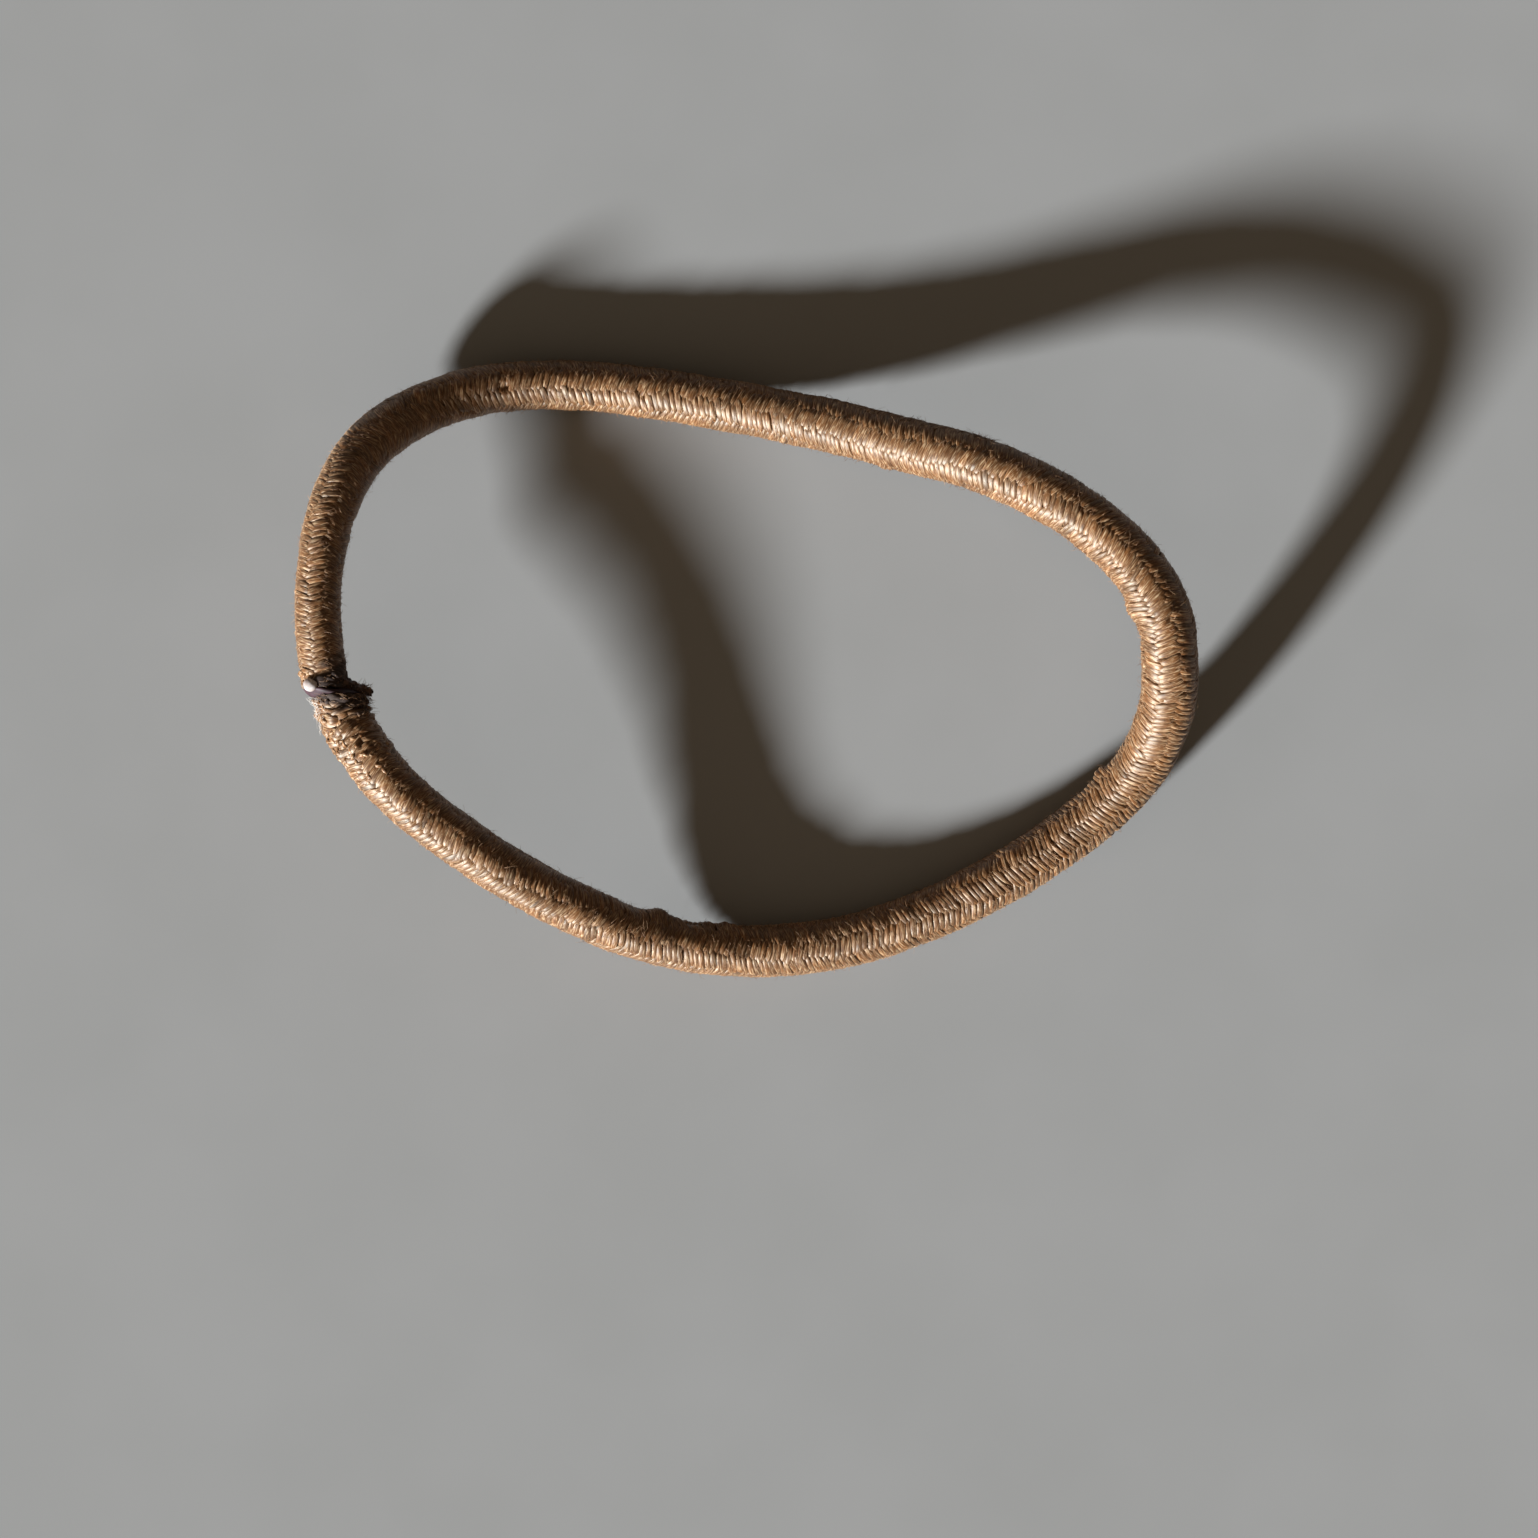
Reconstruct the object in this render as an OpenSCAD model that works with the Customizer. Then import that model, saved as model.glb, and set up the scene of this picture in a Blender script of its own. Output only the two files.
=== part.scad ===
// Elastic hair tie: a bundle of rubber threads in a braided yarn cover, closed into a loop by a
// glued butt joint whose two ends are out of line. The loop lies relaxed and slightly warped, as
// an elastic does after use.
// Millimetres. X runs along the loop's longest extent, Z is up, and the loop lies on z = 0.

/* [Cord] */
// Outside diameter of the covered cord
cord_d = 4.0; // [3.9:0.05:4.3]
// Diameter of one rubber thread
thread_d = 0.6; // [0.5:0.01:0.6]
// Gap between the bundle of threads and the cover's bore
bundle_gap = 0.04; // [0.02:0.01:0.06]

/* [Glued joint] */
// Thickness of the adhesive film between the two cut ends
film_t = 0.4; // [0.2:0.05:0.6]
// How far the film stands out past the cord all round
film_rim = 0.15; // [0.05:0.05:0.3]
// Diameter of the clear bead of adhesive on the outer side
bead_d = 1.2; // [1:0.1:1.4]
// Length of the flash of adhesive on the inner side
flash_l = 1.8; // [1.6:0.1:2.4]
// Thickness of that flash
flash_t = 0.8; // [0.3:0.05:1]
// Clearance between the adhesive and the cord that stretches beside it
glue_gap = 0.03; // [0.02:0.01:0.05]

/* [Facets] */
// Rings of each tube for every point of the route
ring_steps = 2; // [1:1:2]
// Sides of the braided cover
cover_sides = 12; // [8:1:12]
// Sides of a rubber thread
thread_sides = 6; // [5:1:6]

/* [Hidden] */
$fn = 48;

// The route of the cord's centreline, from the glued joint up round the loop and back to it.
// Each point is [x, y, lift of the underside above the surface, diameter as a share of cord_d].
ROUTE = [
    [-31.6,  -1.8, 7.2, 0.90],
    [-32.1,   2.5, 7.2, 0.88],
    [-32.1,   7.0, 6.8, 0.88],
    [-31.2,  12.0, 5.5, 0.94],
    [-29.0,  16.5, 3.3, 0.99],
    [-25.0,  19.6, 1.4, 0.97],
    [-20.0,  21.3, 0.4, 0.95],
    [-14.0,  21.7, 0.0, 0.95],
    [ -7.5,  21.1, 0.2, 0.98],
    [  0.0,  19.8, 1.0, 1.00],
    [  6.0,  18.5, 2.2, 1.02],
    [ 12.0,  16.9, 4.2, 1.03],
    [ 18.0,  15.1, 6.3, 1.04],
    [ 23.5,  12.4, 7.6, 1.05],
    [ 27.8,   9.1, 8.3, 1.06],
    [ 30.8,   5.1, 8.6, 1.08],
    [ 31.8,   0.6, 7.6, 1.08],
    [ 31.6,  -3.6, 5.2, 1.06],
    [ 29.8,  -7.8, 2.0, 1.04],
    [ 26.0, -11.7, 0.3, 1.03],
    [ 20.0, -15.8, 0.0, 1.02],
    [ 13.5, -19.0, 0.0, 1.00],
    [  7.0, -21.0, 0.0, 1.00],
    [  0.0, -21.6, 0.4, 1.00],
    [ -7.0, -20.6, 1.7, 0.99],
    [-13.5, -18.0, 3.8, 0.99],
    [-20.0, -14.2, 6.0, 0.98],
    [-26.0,  -9.5, 7.3, 0.98],
    [-29.5,  -5.0, 7.2, 1.00],
    [-30.7,  -1.8, 7.0, 0.96]
];

// Hexagonal rings of threads round the one in the middle
thread_rings = 2;
bundle_d = (2 * thread_rings + 1) * thread_d;
// The cover's bore is widened so that its flats, and not its corners, clear the bundle
bore_d = (bundle_d + 2 * bundle_gap) / cos(180 / cover_sides);
// Each thread is a little thinner than its place in the bundle, to stay clear of its neighbours
thread_fit = 0.97;

// How far from the joint the glue is kept clear of the two ends of the cord
arm_l = 4;

// The bead sits high on the outer side, over the end of the upper strand
bead_angle = 56;
bead_reach = 1.75;
bead_along = 0.4;

// The flash fills the step on the inner side, between the upper strand and the lower one's cut end
flash_rise = 0.4;
flash_w = 1.0;
// Its outline, as shares of its length from the upper strand's side and of its width across
FLASH_OUTLINE = [
    [-0.2, 0.8],
    [0.1, 0.7],
    [0.5, 0.35],
    [0.9, 0.1],
    [1, -0.3],
    [0.95, -0.4],
    [0.85, 0],
    [-0.2, 0]
];

function unit(v) = v / norm(v);

// A point of the smooth curve from b to c, whose neighbours are a and d, at share t of the way
function curve(a, b, c, d, t) =
    b + t * (c - a) / 2
      + t * t * (2 * a - 5 * b + 4 * c - d) / 2
      + t * t * t * (3 * b - a - 3 * c + d) / 2;

// The route again, with one more point past each end for the curve to aim at
route_end = len(ROUTE) - 1;
aimed = concat(
    [2 * ROUTE[0] - ROUTE[1]],
    ROUTE,
    [2 * ROUTE[route_end] - ROUTE[route_end - 1]]
);

// Where the rings stand along the route, in the route's own four numbers
stations = concat(
    [for (i = [0 : route_end - 1], k = [0 : ring_steps - 1])
        curve(aimed[i], aimed[i + 1], aimed[i + 2], aimed[i + 3], k / ring_steps)],
    [ROUTE[route_end]]
);
last = len(stations) - 1;
line = [for (p = stations) [p[0], p[1], max(0, p[2]) + p[3] * cord_d / 2]];
diameters = [for (p = stations) p[3] * cord_d];
heading = [for (i = [0 : last]) unit(line[min(i + 1, last)] - line[max(i - 1, 0)])];

// Both ends are cut in planes square to Y, half a film and a clearance from the joint's middle
joint_at = line[0];
joint_axis = [0, 1, 0];
end_gap = film_t / 2 + glue_gap;
function end_shift(i) = (i == 0 ? 1 : i == last ? -1 : 0) * end_gap;
cut = [for (i = [0 : last]) i == 0 || i == last ? joint_axis : heading[i]];
centres = [for (i = [0 : last])
    line[i] + heading[i] * end_shift(i) / (heading[i] * cut[i])];
sideways = [for (h = heading) unit(cross([0, 0, 1], h))];
upward = [for (i = [0 : last]) cross(heading[i], sideways[i])];

// A point of the cord's cross-section at station i, slid along the cord into the ring's plane
function placed(i, q) =
    let (away = q[0] * sideways[i] + q[1] * upward[i])
    centres[i] + away - heading[i] * (away * cut[i]) / (heading[i] * cut[i]);

function circle_points(d, sides, middle = [0, 0]) =
    [for (k = [0 : sides - 1]) middle + d / 2 * [cos(360 * k / sides), sin(360 * k / sides)]];

// The places of the threads in the bundle: the middle one, then ring by ring
function hexagon_points(ring) =
    [for (side = [0 : 5], k = [0 : ring - 1])
        let (corner = [cos(60 * side), sin(60 * side)])
        let (next = [cos(60 * side + 60), sin(60 * side + 60)])
        thread_d * (ring * corner + k * (next - corner))];
thread_places = concat([[0, 0]], [for (ring = [1 : thread_rings]) each hexagon_points(ring)]);

// The quadrilaterals between rings of n points, the first of them numbered from first
function wall_faces(n, first, inward) =
    [for (i = [0 : last - 1], k = [0 : n - 1])
        let (a = first + i * n + k)
        let (b = first + i * n + (k + 1) % n)
        inward ? [a, b, b + n, a + n] : [a, a + n, b + n, b]];

// The flat ring between the outer and inner outlines at one end of a hollow tube
function rim_faces(n, ring, inner, reversed) =
    [for (k = [0 : n - 1])
        let (a = ring * n + k)
        let (b = ring * n + (k + 1) % n)
        reversed ? [a, a + inner, b + inner, b] : [a, b, b + inner, a + inner]];

module solid_tube(d, sides, middle) {
    rings = [for (i = [0 : last]) each
        [for (q = circle_points(d, sides, middle)) placed(i, q)]];
    near_end = [for (k = [0 : sides - 1]) k];
    far_end = [for (k = [sides - 1 : -1 : 0]) last * sides + k];
    polyhedron(points = rings, faces = concat(wall_faces(sides, 0, false), [near_end, far_end]));
}

module hollow_tube(inside_d, sides) {
    outer = [for (i = [0 : last]) each
        [for (q = circle_points(diameters[i], sides)) placed(i, q)]];
    inner = [for (i = [0 : last]) each
        [for (q = circle_points(inside_d, sides)) placed(i, q)]];
    polyhedron(
        points = concat(outer, inner),
        faces = concat(
            wall_faces(sides, 0, false),
            wall_faces(sides, len(outer), true),
            rim_faces(sides, 0, len(outer), false),
            rim_faces(sides, last, len(outer), true)
        )
    );
}

module braided_cover() {
    color("peru") hollow_tube(bore_d, cover_sides);
}

module rubber_thread(number) {
    color("#6f5545") solid_tube(thread_fit * thread_d, thread_sides, thread_places[number - 1]);
}

// The film lies between the two cut ends and covers both, so its faces are square to Y
module film_discs() {
    for (end = [[line[0], diameters[0]], [line[last], diameters[last]]])
        translate([end[0].x, joint_at.y, end[0].z])
            rotate([90, 0, 0])
                cylinder(d = end[1] + 2 * film_rim, h = film_t, center = true);
}

// The room that one end of the cord takes beside the joint, on that side of the film
module arm_room(end, away, d, side) {
    intersection() {
        translate(end)
            rotate([0, acos(away.z), atan2(away.y, away.x)])
                translate([0, 0, -arm_l / 2])
                    cylinder(d = d + 2 * glue_gap, h = 1.5 * arm_l);
        translate(end + [0, side * arm_l, 0]) cube(2 * arm_l, center = true);
    }
}

module arm_rooms() {
    arm_room(line[0], heading[0], diameters[0], 1);
    arm_room(line[last], -heading[last], diameters[last], -1);
}

module adhesive_film() {
    color("#3a1f2a") film_discs();
}

module adhesive_bead() {
    color("white") difference() {
        translate(joint_at + [-bead_reach * cos(bead_angle), bead_along, bead_reach * sin(bead_angle)])
            sphere(d = bead_d);
        film_discs();
        arm_rooms();
    }
}

module adhesive_flash() {
    color("#3a1f2a") difference() {
        translate(joint_at + [diameters[0] / 2, 0, flash_rise])
            linear_extrude(height = flash_t, center = true)
                polygon([for (p = FLASH_OUTLINE) [p[0] * flash_l, p[1] * flash_w]]);
        film_discs();
        arm_rooms();
    }
}

braided_cover();
rubber_thread(1);  // rubber_thread_01
rubber_thread(2);  // rubber_thread_02
rubber_thread(3);  // rubber_thread_03
rubber_thread(4);  // rubber_thread_04
rubber_thread(5);  // rubber_thread_05
rubber_thread(6);  // rubber_thread_06
rubber_thread(7);  // rubber_thread_07
rubber_thread(8);  // rubber_thread_08
rubber_thread(9);  // rubber_thread_09
rubber_thread(10);  // rubber_thread_10
rubber_thread(11);  // rubber_thread_11
rubber_thread(12);  // rubber_thread_12
rubber_thread(13);  // rubber_thread_13
rubber_thread(14);  // rubber_thread_14
rubber_thread(15);  // rubber_thread_15
rubber_thread(16);  // rubber_thread_16
rubber_thread(17);  // rubber_thread_17
rubber_thread(18);  // rubber_thread_18
rubber_thread(19);  // rubber_thread_19
adhesive_film();
adhesive_bead();
adhesive_flash();
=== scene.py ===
import math

import bpy
import numpy as np
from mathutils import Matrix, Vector


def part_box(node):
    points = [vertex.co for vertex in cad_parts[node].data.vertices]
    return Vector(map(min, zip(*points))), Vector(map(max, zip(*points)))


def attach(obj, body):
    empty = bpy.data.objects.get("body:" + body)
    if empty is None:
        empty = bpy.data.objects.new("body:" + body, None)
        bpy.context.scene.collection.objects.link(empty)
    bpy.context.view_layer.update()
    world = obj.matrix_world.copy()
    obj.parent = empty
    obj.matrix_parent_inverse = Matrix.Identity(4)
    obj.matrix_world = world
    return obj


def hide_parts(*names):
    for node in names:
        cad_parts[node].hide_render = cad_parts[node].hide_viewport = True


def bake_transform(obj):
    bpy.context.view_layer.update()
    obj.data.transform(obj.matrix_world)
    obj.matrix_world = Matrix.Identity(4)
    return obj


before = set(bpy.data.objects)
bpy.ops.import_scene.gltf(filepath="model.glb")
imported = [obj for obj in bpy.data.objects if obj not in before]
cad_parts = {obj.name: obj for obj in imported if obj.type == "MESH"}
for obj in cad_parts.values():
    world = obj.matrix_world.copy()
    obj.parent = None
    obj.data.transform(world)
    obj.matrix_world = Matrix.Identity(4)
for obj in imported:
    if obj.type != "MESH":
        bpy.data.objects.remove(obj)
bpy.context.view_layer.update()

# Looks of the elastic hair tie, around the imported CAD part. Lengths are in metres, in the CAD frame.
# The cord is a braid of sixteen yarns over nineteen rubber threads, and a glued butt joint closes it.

MM = 0.001

# ---------------------------------------------------------------- camera

SENSOR_MM = 36.0
VIEW_HEIGHT = 400 * MM
VIEW_WIDTH = 118.3 * MM  # what the frame takes in on the floor
VIEW_AT = (1.73 * MM, -7.69 * MM)

camera_data = bpy.data.cameras.new("camera")
camera_data.sensor_width = SENSOR_MM
camera_data.lens = SENSOR_MM * VIEW_HEIGHT / VIEW_WIDTH
camera = bpy.data.objects.new("camera", camera_data)
camera.location = (*VIEW_AT, VIEW_HEIGHT)
bpy.context.scene.collection.objects.link(camera)
bpy.context.scene.camera = camera

# ---------------------------------------------------------------- the cord's route

# [x, y, lift of the underside, diameter as a share of CORD_D], in mm: the route in the CAD source
ROUTE = np.array([
    [-31.6, -1.8, 7.2, 0.90],
    [-32.1, 2.5, 7.2, 0.88],
    [-32.1, 7.0, 6.8, 0.88],
    [-31.2, 12.0, 5.5, 0.94],
    [-29.0, 16.5, 3.3, 0.99],
    [-25.0, 19.6, 1.4, 0.97],
    [-20.0, 21.3, 0.4, 0.95],
    [-14.0, 21.7, 0.0, 0.95],
    [-7.5, 21.1, 0.2, 0.98],
    [0.0, 19.8, 1.0, 1.00],
    [6.0, 18.5, 2.2, 1.02],
    [12.0, 16.9, 4.2, 1.03],
    [18.0, 15.1, 6.3, 1.04],
    [23.5, 12.4, 7.6, 1.05],
    [27.8, 9.1, 8.3, 1.06],
    [30.8, 5.1, 8.6, 1.08],
    [31.8, 0.6, 7.6, 1.08],
    [31.6, -3.6, 5.2, 1.06],
    [29.8, -7.8, 2.0, 1.04],
    [26.0, -11.7, 0.3, 1.03],
    [20.0, -15.8, 0.0, 1.02],
    [13.5, -19.0, 0.0, 1.00],
    [7.0, -21.0, 0.0, 1.00],
    [0.0, -21.6, 0.4, 1.00],
    [-7.0, -20.6, 1.7, 0.99],
    [-13.5, -18.0, 3.8, 0.99],
    [-20.0, -14.2, 6.0, 0.98],
    [-26.0, -9.5, 7.3, 0.98],
    [-29.5, -5.0, 7.2, 1.00],
    [-30.7, -1.8, 7.0, 0.96],
])
CORD_D = 4.0 * MM
SPAN_STEPS = 48  # steps of the smooth line between two points of the route
END_GAP = 0.23 * MM  # from the joint's middle to each cut end, square to Y
LEAN_REACH = 3 * MM  # how far from a cut end the cord's cross-sections lean into the cut's plane
WORLD_UP = np.array([0.0, 0.0, 1.0])
CUT_NORMAL = np.array([0.0, 1.0, 0.0])


def unit(vectors):
    return vectors / np.linalg.norm(vectors, axis=-1, keepdims=True)


def ramp(x):
    """0 below 0, 1 above 1, and a smooth rise between."""
    t = np.clip(x, 0, 1)
    return t * t * (3 - 2 * t)


def smooth_route(points, steps):
    """The curve through the points that the CAD source draws, with that many steps a span."""
    aimed = np.vstack([2 * points[0] - points[1], points, 2 * points[-1] - points[-2]])
    rows = []
    for a, b, c, d in zip(aimed, aimed[1:], aimed[2:], aimed[3:]):
        for t in np.arange(steps) / steps:
            rows.append(
                b + t * (c - a) / 2
                + t ** 2 * (2 * a - 5 * b + 4 * c - d) / 2
                + t ** 3 * (3 * b - a - 3 * c + d) / 2
            )
    return np.array(rows + [points[-1]])


route = smooth_route(ROUTE, SPAN_STEPS)
line_share = route[:, 3]
line = route[:, :3] * MM
line[:, 2] = np.maximum(line[:, 2], 0) + line_share * CORD_D / 2
line_s = np.concatenate([[0], np.cumsum(np.linalg.norm(np.diff(line, axis=0), axis=1))])
line_heading = unit(np.gradient(line, line_s, axis=0))
line_side = unit(np.cross(WORLD_UP, line_heading))
line_up = np.cross(line_heading, line_side)

joint_at = line[0]
first_s = END_GAP / abs(line_heading[0] @ CUT_NORMAL)
last_s = line_s[-1] - END_GAP / abs(line_heading[-1] @ CUT_NORMAL)


def read_line(table, s):
    """A column table of the route at distances s along it."""
    return np.stack([np.interp(s, line_s, column) for column in table.T], axis=-1)


def share_at(s):
    return np.interp(s, line_s, line_share)


def on_cord(s, angle, radius):
    """Points at s along the cord, angle round it (0 outward, a quarter turn up) and radius from it."""
    s, angle, radius = np.broadcast_arrays(s, angle, radius)
    heading = unit(read_line(line_heading, s))
    away = radius[..., None] * (
        np.cos(angle)[..., None] * read_line(line_side, s)
        + np.sin(angle)[..., None] * read_line(line_up, s)
    )
    to_end = np.minimum(s - first_s, last_s - s)
    lean = ramp(1 - to_end / LEAN_REACH)
    across = heading @ CUT_NORMAL
    slide = np.where(lean > 0, lean * (away @ CUT_NORMAL) / np.where(lean > 0, across, 1), 0)
    return read_line(line, s) + away - heading * slide[..., None]


# ---------------------------------------------------------------- small tools

YARN_UV = "yarn"
UV_STEP = 3.7  # how far apart two tubes of one mesh lie on their map
SIDE_GUIDE = np.array([0.31, 0.52, 0.80])  # crossed with a fibre's heading, it gives the fibre a side


def wander(rng, positions, scale):
    """Smooth noise of about unit size along positions, with a new random value every scale."""
    cells = (positions - positions.min()) / scale + 1
    values = rng.standard_normal(int(cells.max()) + 3)
    whole = np.floor(cells).astype(int)
    t = ramp(cells - whole)
    return values[whole] * (1 - t) + values[whole + 1] * t


def lump_field(rng, waves, shortest, longest):
    """A smooth field of about unit size over the cord's surface."""
    turns = rng.integers(-5, 6, waves)
    lengths = rng.uniform(shortest, longest, waves)
    phases = rng.uniform(0, 2 * math.pi, waves)

    def field(s, angle):
        total = sum(
            np.cos(n * angle + 2 * math.pi * s / length + phase)
            for n, length, phase in zip(turns, lengths, phases)
        )
        return total / math.sqrt(waves / 2)

    return field


def full_turn(sides):
    """The angles of that many corners, evenly round a circle."""
    return 2 * math.pi * np.arange(sides) / sides


def rings_round(curves, sides):
    """Offsets of unit length round curves, which hold curve, point, xyz."""
    heading = unit(np.gradient(curves, axis=1))
    side = unit(np.cross(heading, SIDE_GUIDE))
    up = np.cross(heading, side)
    around = full_turn(sides)
    return (
        np.cos(around)[:, None] * side[:, :, None, :]
        + np.sin(around)[:, None] * up[:, :, None, :]
    )


def make_object(name, mesh, material):
    mesh.materials.append(material)
    piece = bpy.data.objects.new(name, mesh)
    bpy.context.scene.collection.objects.link(piece)
    return piece


def add_values(mesh, name, values):
    attribute = mesh.attributes.new(name, "FLOAT", "POINT")
    attribute.data.foreach_set("value", np.asarray(values, np.float32).ravel())


def tubes_mesh(name, rings, uv=None):
    """Closed tubes as one mesh. rings holds tube, ring, corner, xyz, and uv is ring and corner, uv."""
    tubes, count, sides, _ = rings.shape
    here = np.arange(sides)
    there = (here + 1) % sides
    base = (np.arange(count - 1) * sides)[:, None]
    quads = np.stack([base + here, base + there, base + sides + there, base + sides + here], -1)
    quads = quads.reshape(-1, 4)
    caps = np.stack([here[::-1], here + (count - 1) * sides])
    shift = (np.arange(tubes) * count * sides)[:, None, None]
    quads = (quads + shift).reshape(-1, 4)
    caps = (caps + shift).reshape(-1, sides)

    mesh = bpy.data.meshes.new(name)
    mesh.vertices.add(tubes * count * sides)
    mesh.vertices.foreach_set("co", rings.astype(np.float32).ravel())
    corners = np.concatenate([quads.ravel(), caps.ravel()])
    sizes = np.concatenate([np.full(len(quads), 4), np.full(len(caps), sides)])
    mesh.loops.add(len(corners))
    mesh.loops.foreach_set("vertex_index", corners.astype(np.int32))
    mesh.polygons.add(len(sizes))
    mesh.polygons.foreach_set("loop_start", (np.cumsum(sizes) - sizes).astype(np.int32))
    mesh.update(calc_edges=True)
    mesh.shade_smooth()
    if uv is not None:
        layer = mesh.uv_layers.new(name=YARN_UV)
        grid = np.stack([
            uv[:-1, :-1], uv[:-1, 1:], uv[1:, 1:], uv[1:, :-1],
        ], axis=2).reshape(-1, 2)
        ends = np.concatenate([uv[0, :-1][::-1], uv[-1, :-1]])
        moves = (UV_STEP * np.arange(tubes))[:, None, None]
        parts = [(part + moves).reshape(-1, 2) for part in (grid, ends)]
        layer.data.foreach_set("uv", np.concatenate(parts).astype(np.float32).ravel())
    return mesh


# ---------------------------------------------------------------- materials


def new_material(name):
    material = bpy.data.materials.new(name)
    material.use_nodes = True
    nodes = material.node_tree.nodes
    return material, nodes, material.node_tree.links, nodes["Principled BSDF"]


def set_inputs(node, **values):
    for name, value in values.items():
        node.inputs[name.replace("_", " ")].default_value = value


def noise_node(nodes, links, vector, scale, detail=3.0):
    noise = nodes.new("ShaderNodeTexNoise")
    set_inputs(noise, Scale=scale, Detail=detail)
    links.new(vector, noise.inputs["Vector"])
    return noise


def ramp_node(nodes, links, value, stops):
    """A colour ramp over value, with (position, colour) stops."""
    node = nodes.new("ShaderNodeValToRGB")
    links.new(value, node.inputs["Fac"])
    marks = node.color_ramp.elements
    while len(marks) < len(stops):
        marks.new(0.5)
    for mark, (position, colour) in zip(marks, stops):
        mark.position = position
        mark.color = (*colour, 1)
    return node


def bump_node(nodes, links, height, distance, strength, shader):
    bump = nodes.new("ShaderNodeBump")
    set_inputs(bump, Strength=strength, Distance=distance)
    links.new(height, bump.inputs["Height"])
    links.new(bump.outputs["Normal"], shader.inputs["Normal"])


YARN_DARK = (0.036, 0.009, 0.002)
YARN_MID = (0.145, 0.052, 0.012)
YARN_PALE = (0.520, 0.365, 0.220)
# Glue stain colour, also used as painted shade on the loop's inner side by the joint.
GLUE_STAIN_AND_SHADE_DARK = (0.018, 0.006, 0.006)
FIBRE_SCALE = (0.9, 11.0, 1.0)  # the filaments' grain is long along a yarn and fine across it
CLEAN_ROUGHNESS = 0.50
GLUED_ROUGHNESS = 0.85


def yarn_material():
    """Lustrous filament yarn, stained where the joint's adhesive has soaked into it, with painted shade in
    that stain on the loop's inner side.
    """
    material, nodes, links, shader = new_material("cover_yarn")
    uv = nodes.new("ShaderNodeUVMap")
    uv.uv_map = YARN_UV
    stretch = nodes.new("ShaderNodeMapping")
    set_inputs(stretch, Scale=FIBRE_SCALE)
    links.new(uv.outputs["UV"], stretch.inputs["Vector"])
    fibres = noise_node(nodes, links, stretch.outputs["Vector"], 1.6, 4.0)
    colour = ramp_node(nodes, links, fibres.outputs["Fac"], [
        (0.28, YARN_DARK),
        (0.50, YARN_MID),
        (0.74, YARN_PALE),
    ])

    tone = nodes.new("ShaderNodeAttribute")
    tone.attribute_name = "tone"
    shade = nodes.new("ShaderNodeMix")
    shade.data_type = "RGBA"
    shade.blend_type = "MULTIPLY"
    shade.inputs["Factor"].default_value = 1.0
    links.new(colour.outputs["Color"], shade.inputs["A"])
    links.new(tone.outputs["Color"], shade.inputs["B"])

    # The glue mask darkens the yarn: a real stain, and painted shade on the inner side by the joint.
    glue = nodes.new("ShaderNodeAttribute")
    glue.attribute_name = "glue"
    stain_and_shade = nodes.new("ShaderNodeMix")
    stain_and_shade.data_type = "RGBA"
    stain_and_shade.inputs["B"].default_value = (*GLUE_STAIN_AND_SHADE_DARK, 1)
    links.new(glue.outputs["Fac"], stain_and_shade.inputs["Factor"])
    links.new(shade.outputs["Result"], stain_and_shade.inputs["A"])
    links.new(stain_and_shade.outputs["Result"], shader.inputs["Base Color"])

    gloss = nodes.new("ShaderNodeMapRange")
    set_inputs(gloss, To_Min=CLEAN_ROUGHNESS, To_Max=GLUED_ROUGHNESS)
    links.new(glue.outputs["Fac"], gloss.inputs["Value"])
    links.new(gloss.outputs["Result"], shader.inputs["Roughness"])

    tangent = nodes.new("ShaderNodeTangent")
    tangent.direction_type = "UV_MAP"
    tangent.uv_map = YARN_UV
    links.new(tangent.outputs["Tangent"], shader.inputs["Tangent"])
    shader.inputs["Anisotropic"].default_value = 0.3
    shader.inputs["Anisotropic Rotation"].default_value = 0.25  # a highlight runs across the fibres
    shader.inputs["Specular IOR Level"].default_value = 0.75
    shader.inputs["Specular Tint"].default_value = (1.0, 0.92, 0.80, 1)
    shader.inputs["Sheen Weight"].default_value = 0.25
    shader.inputs["Sheen Roughness"].default_value = 0.4
    shader.inputs["Sheen Tint"].default_value = (1.0, 0.62, 0.34, 1)
    bump_node(nodes, links, fibres.outputs["Fac"], distance=0.05 * MM, strength=0.5, shader=shader)
    return material


def spotted_material(name, dark, pale, scale, roughness, bump_mm, **settings):
    """A plain material with its own mottling and grain. settings are the shader's own sockets."""
    material, nodes, links, shader = new_material(name)
    where = nodes.new("ShaderNodeTexCoord")
    noise = noise_node(nodes, links, where.outputs["Object"], scale)
    colour = ramp_node(nodes, links, noise.outputs["Fac"], [(0.35, dark), (0.65, pale)])
    links.new(colour.outputs["Color"], shader.inputs["Base Color"])
    spread = nodes.new("ShaderNodeMapRange")
    set_inputs(spread, To_Min=roughness[0], To_Max=roughness[1])
    links.new(noise.outputs["Fac"], spread.inputs["Value"])
    links.new(spread.outputs["Result"], shader.inputs["Roughness"])
    bump_node(nodes, links, noise.outputs["Fac"], distance=bump_mm * MM, strength=0.4, shader=shader)
    for socket, value in settings.items():
        shader.inputs[socket.replace("_", " ")].default_value = value
    return material


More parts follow.
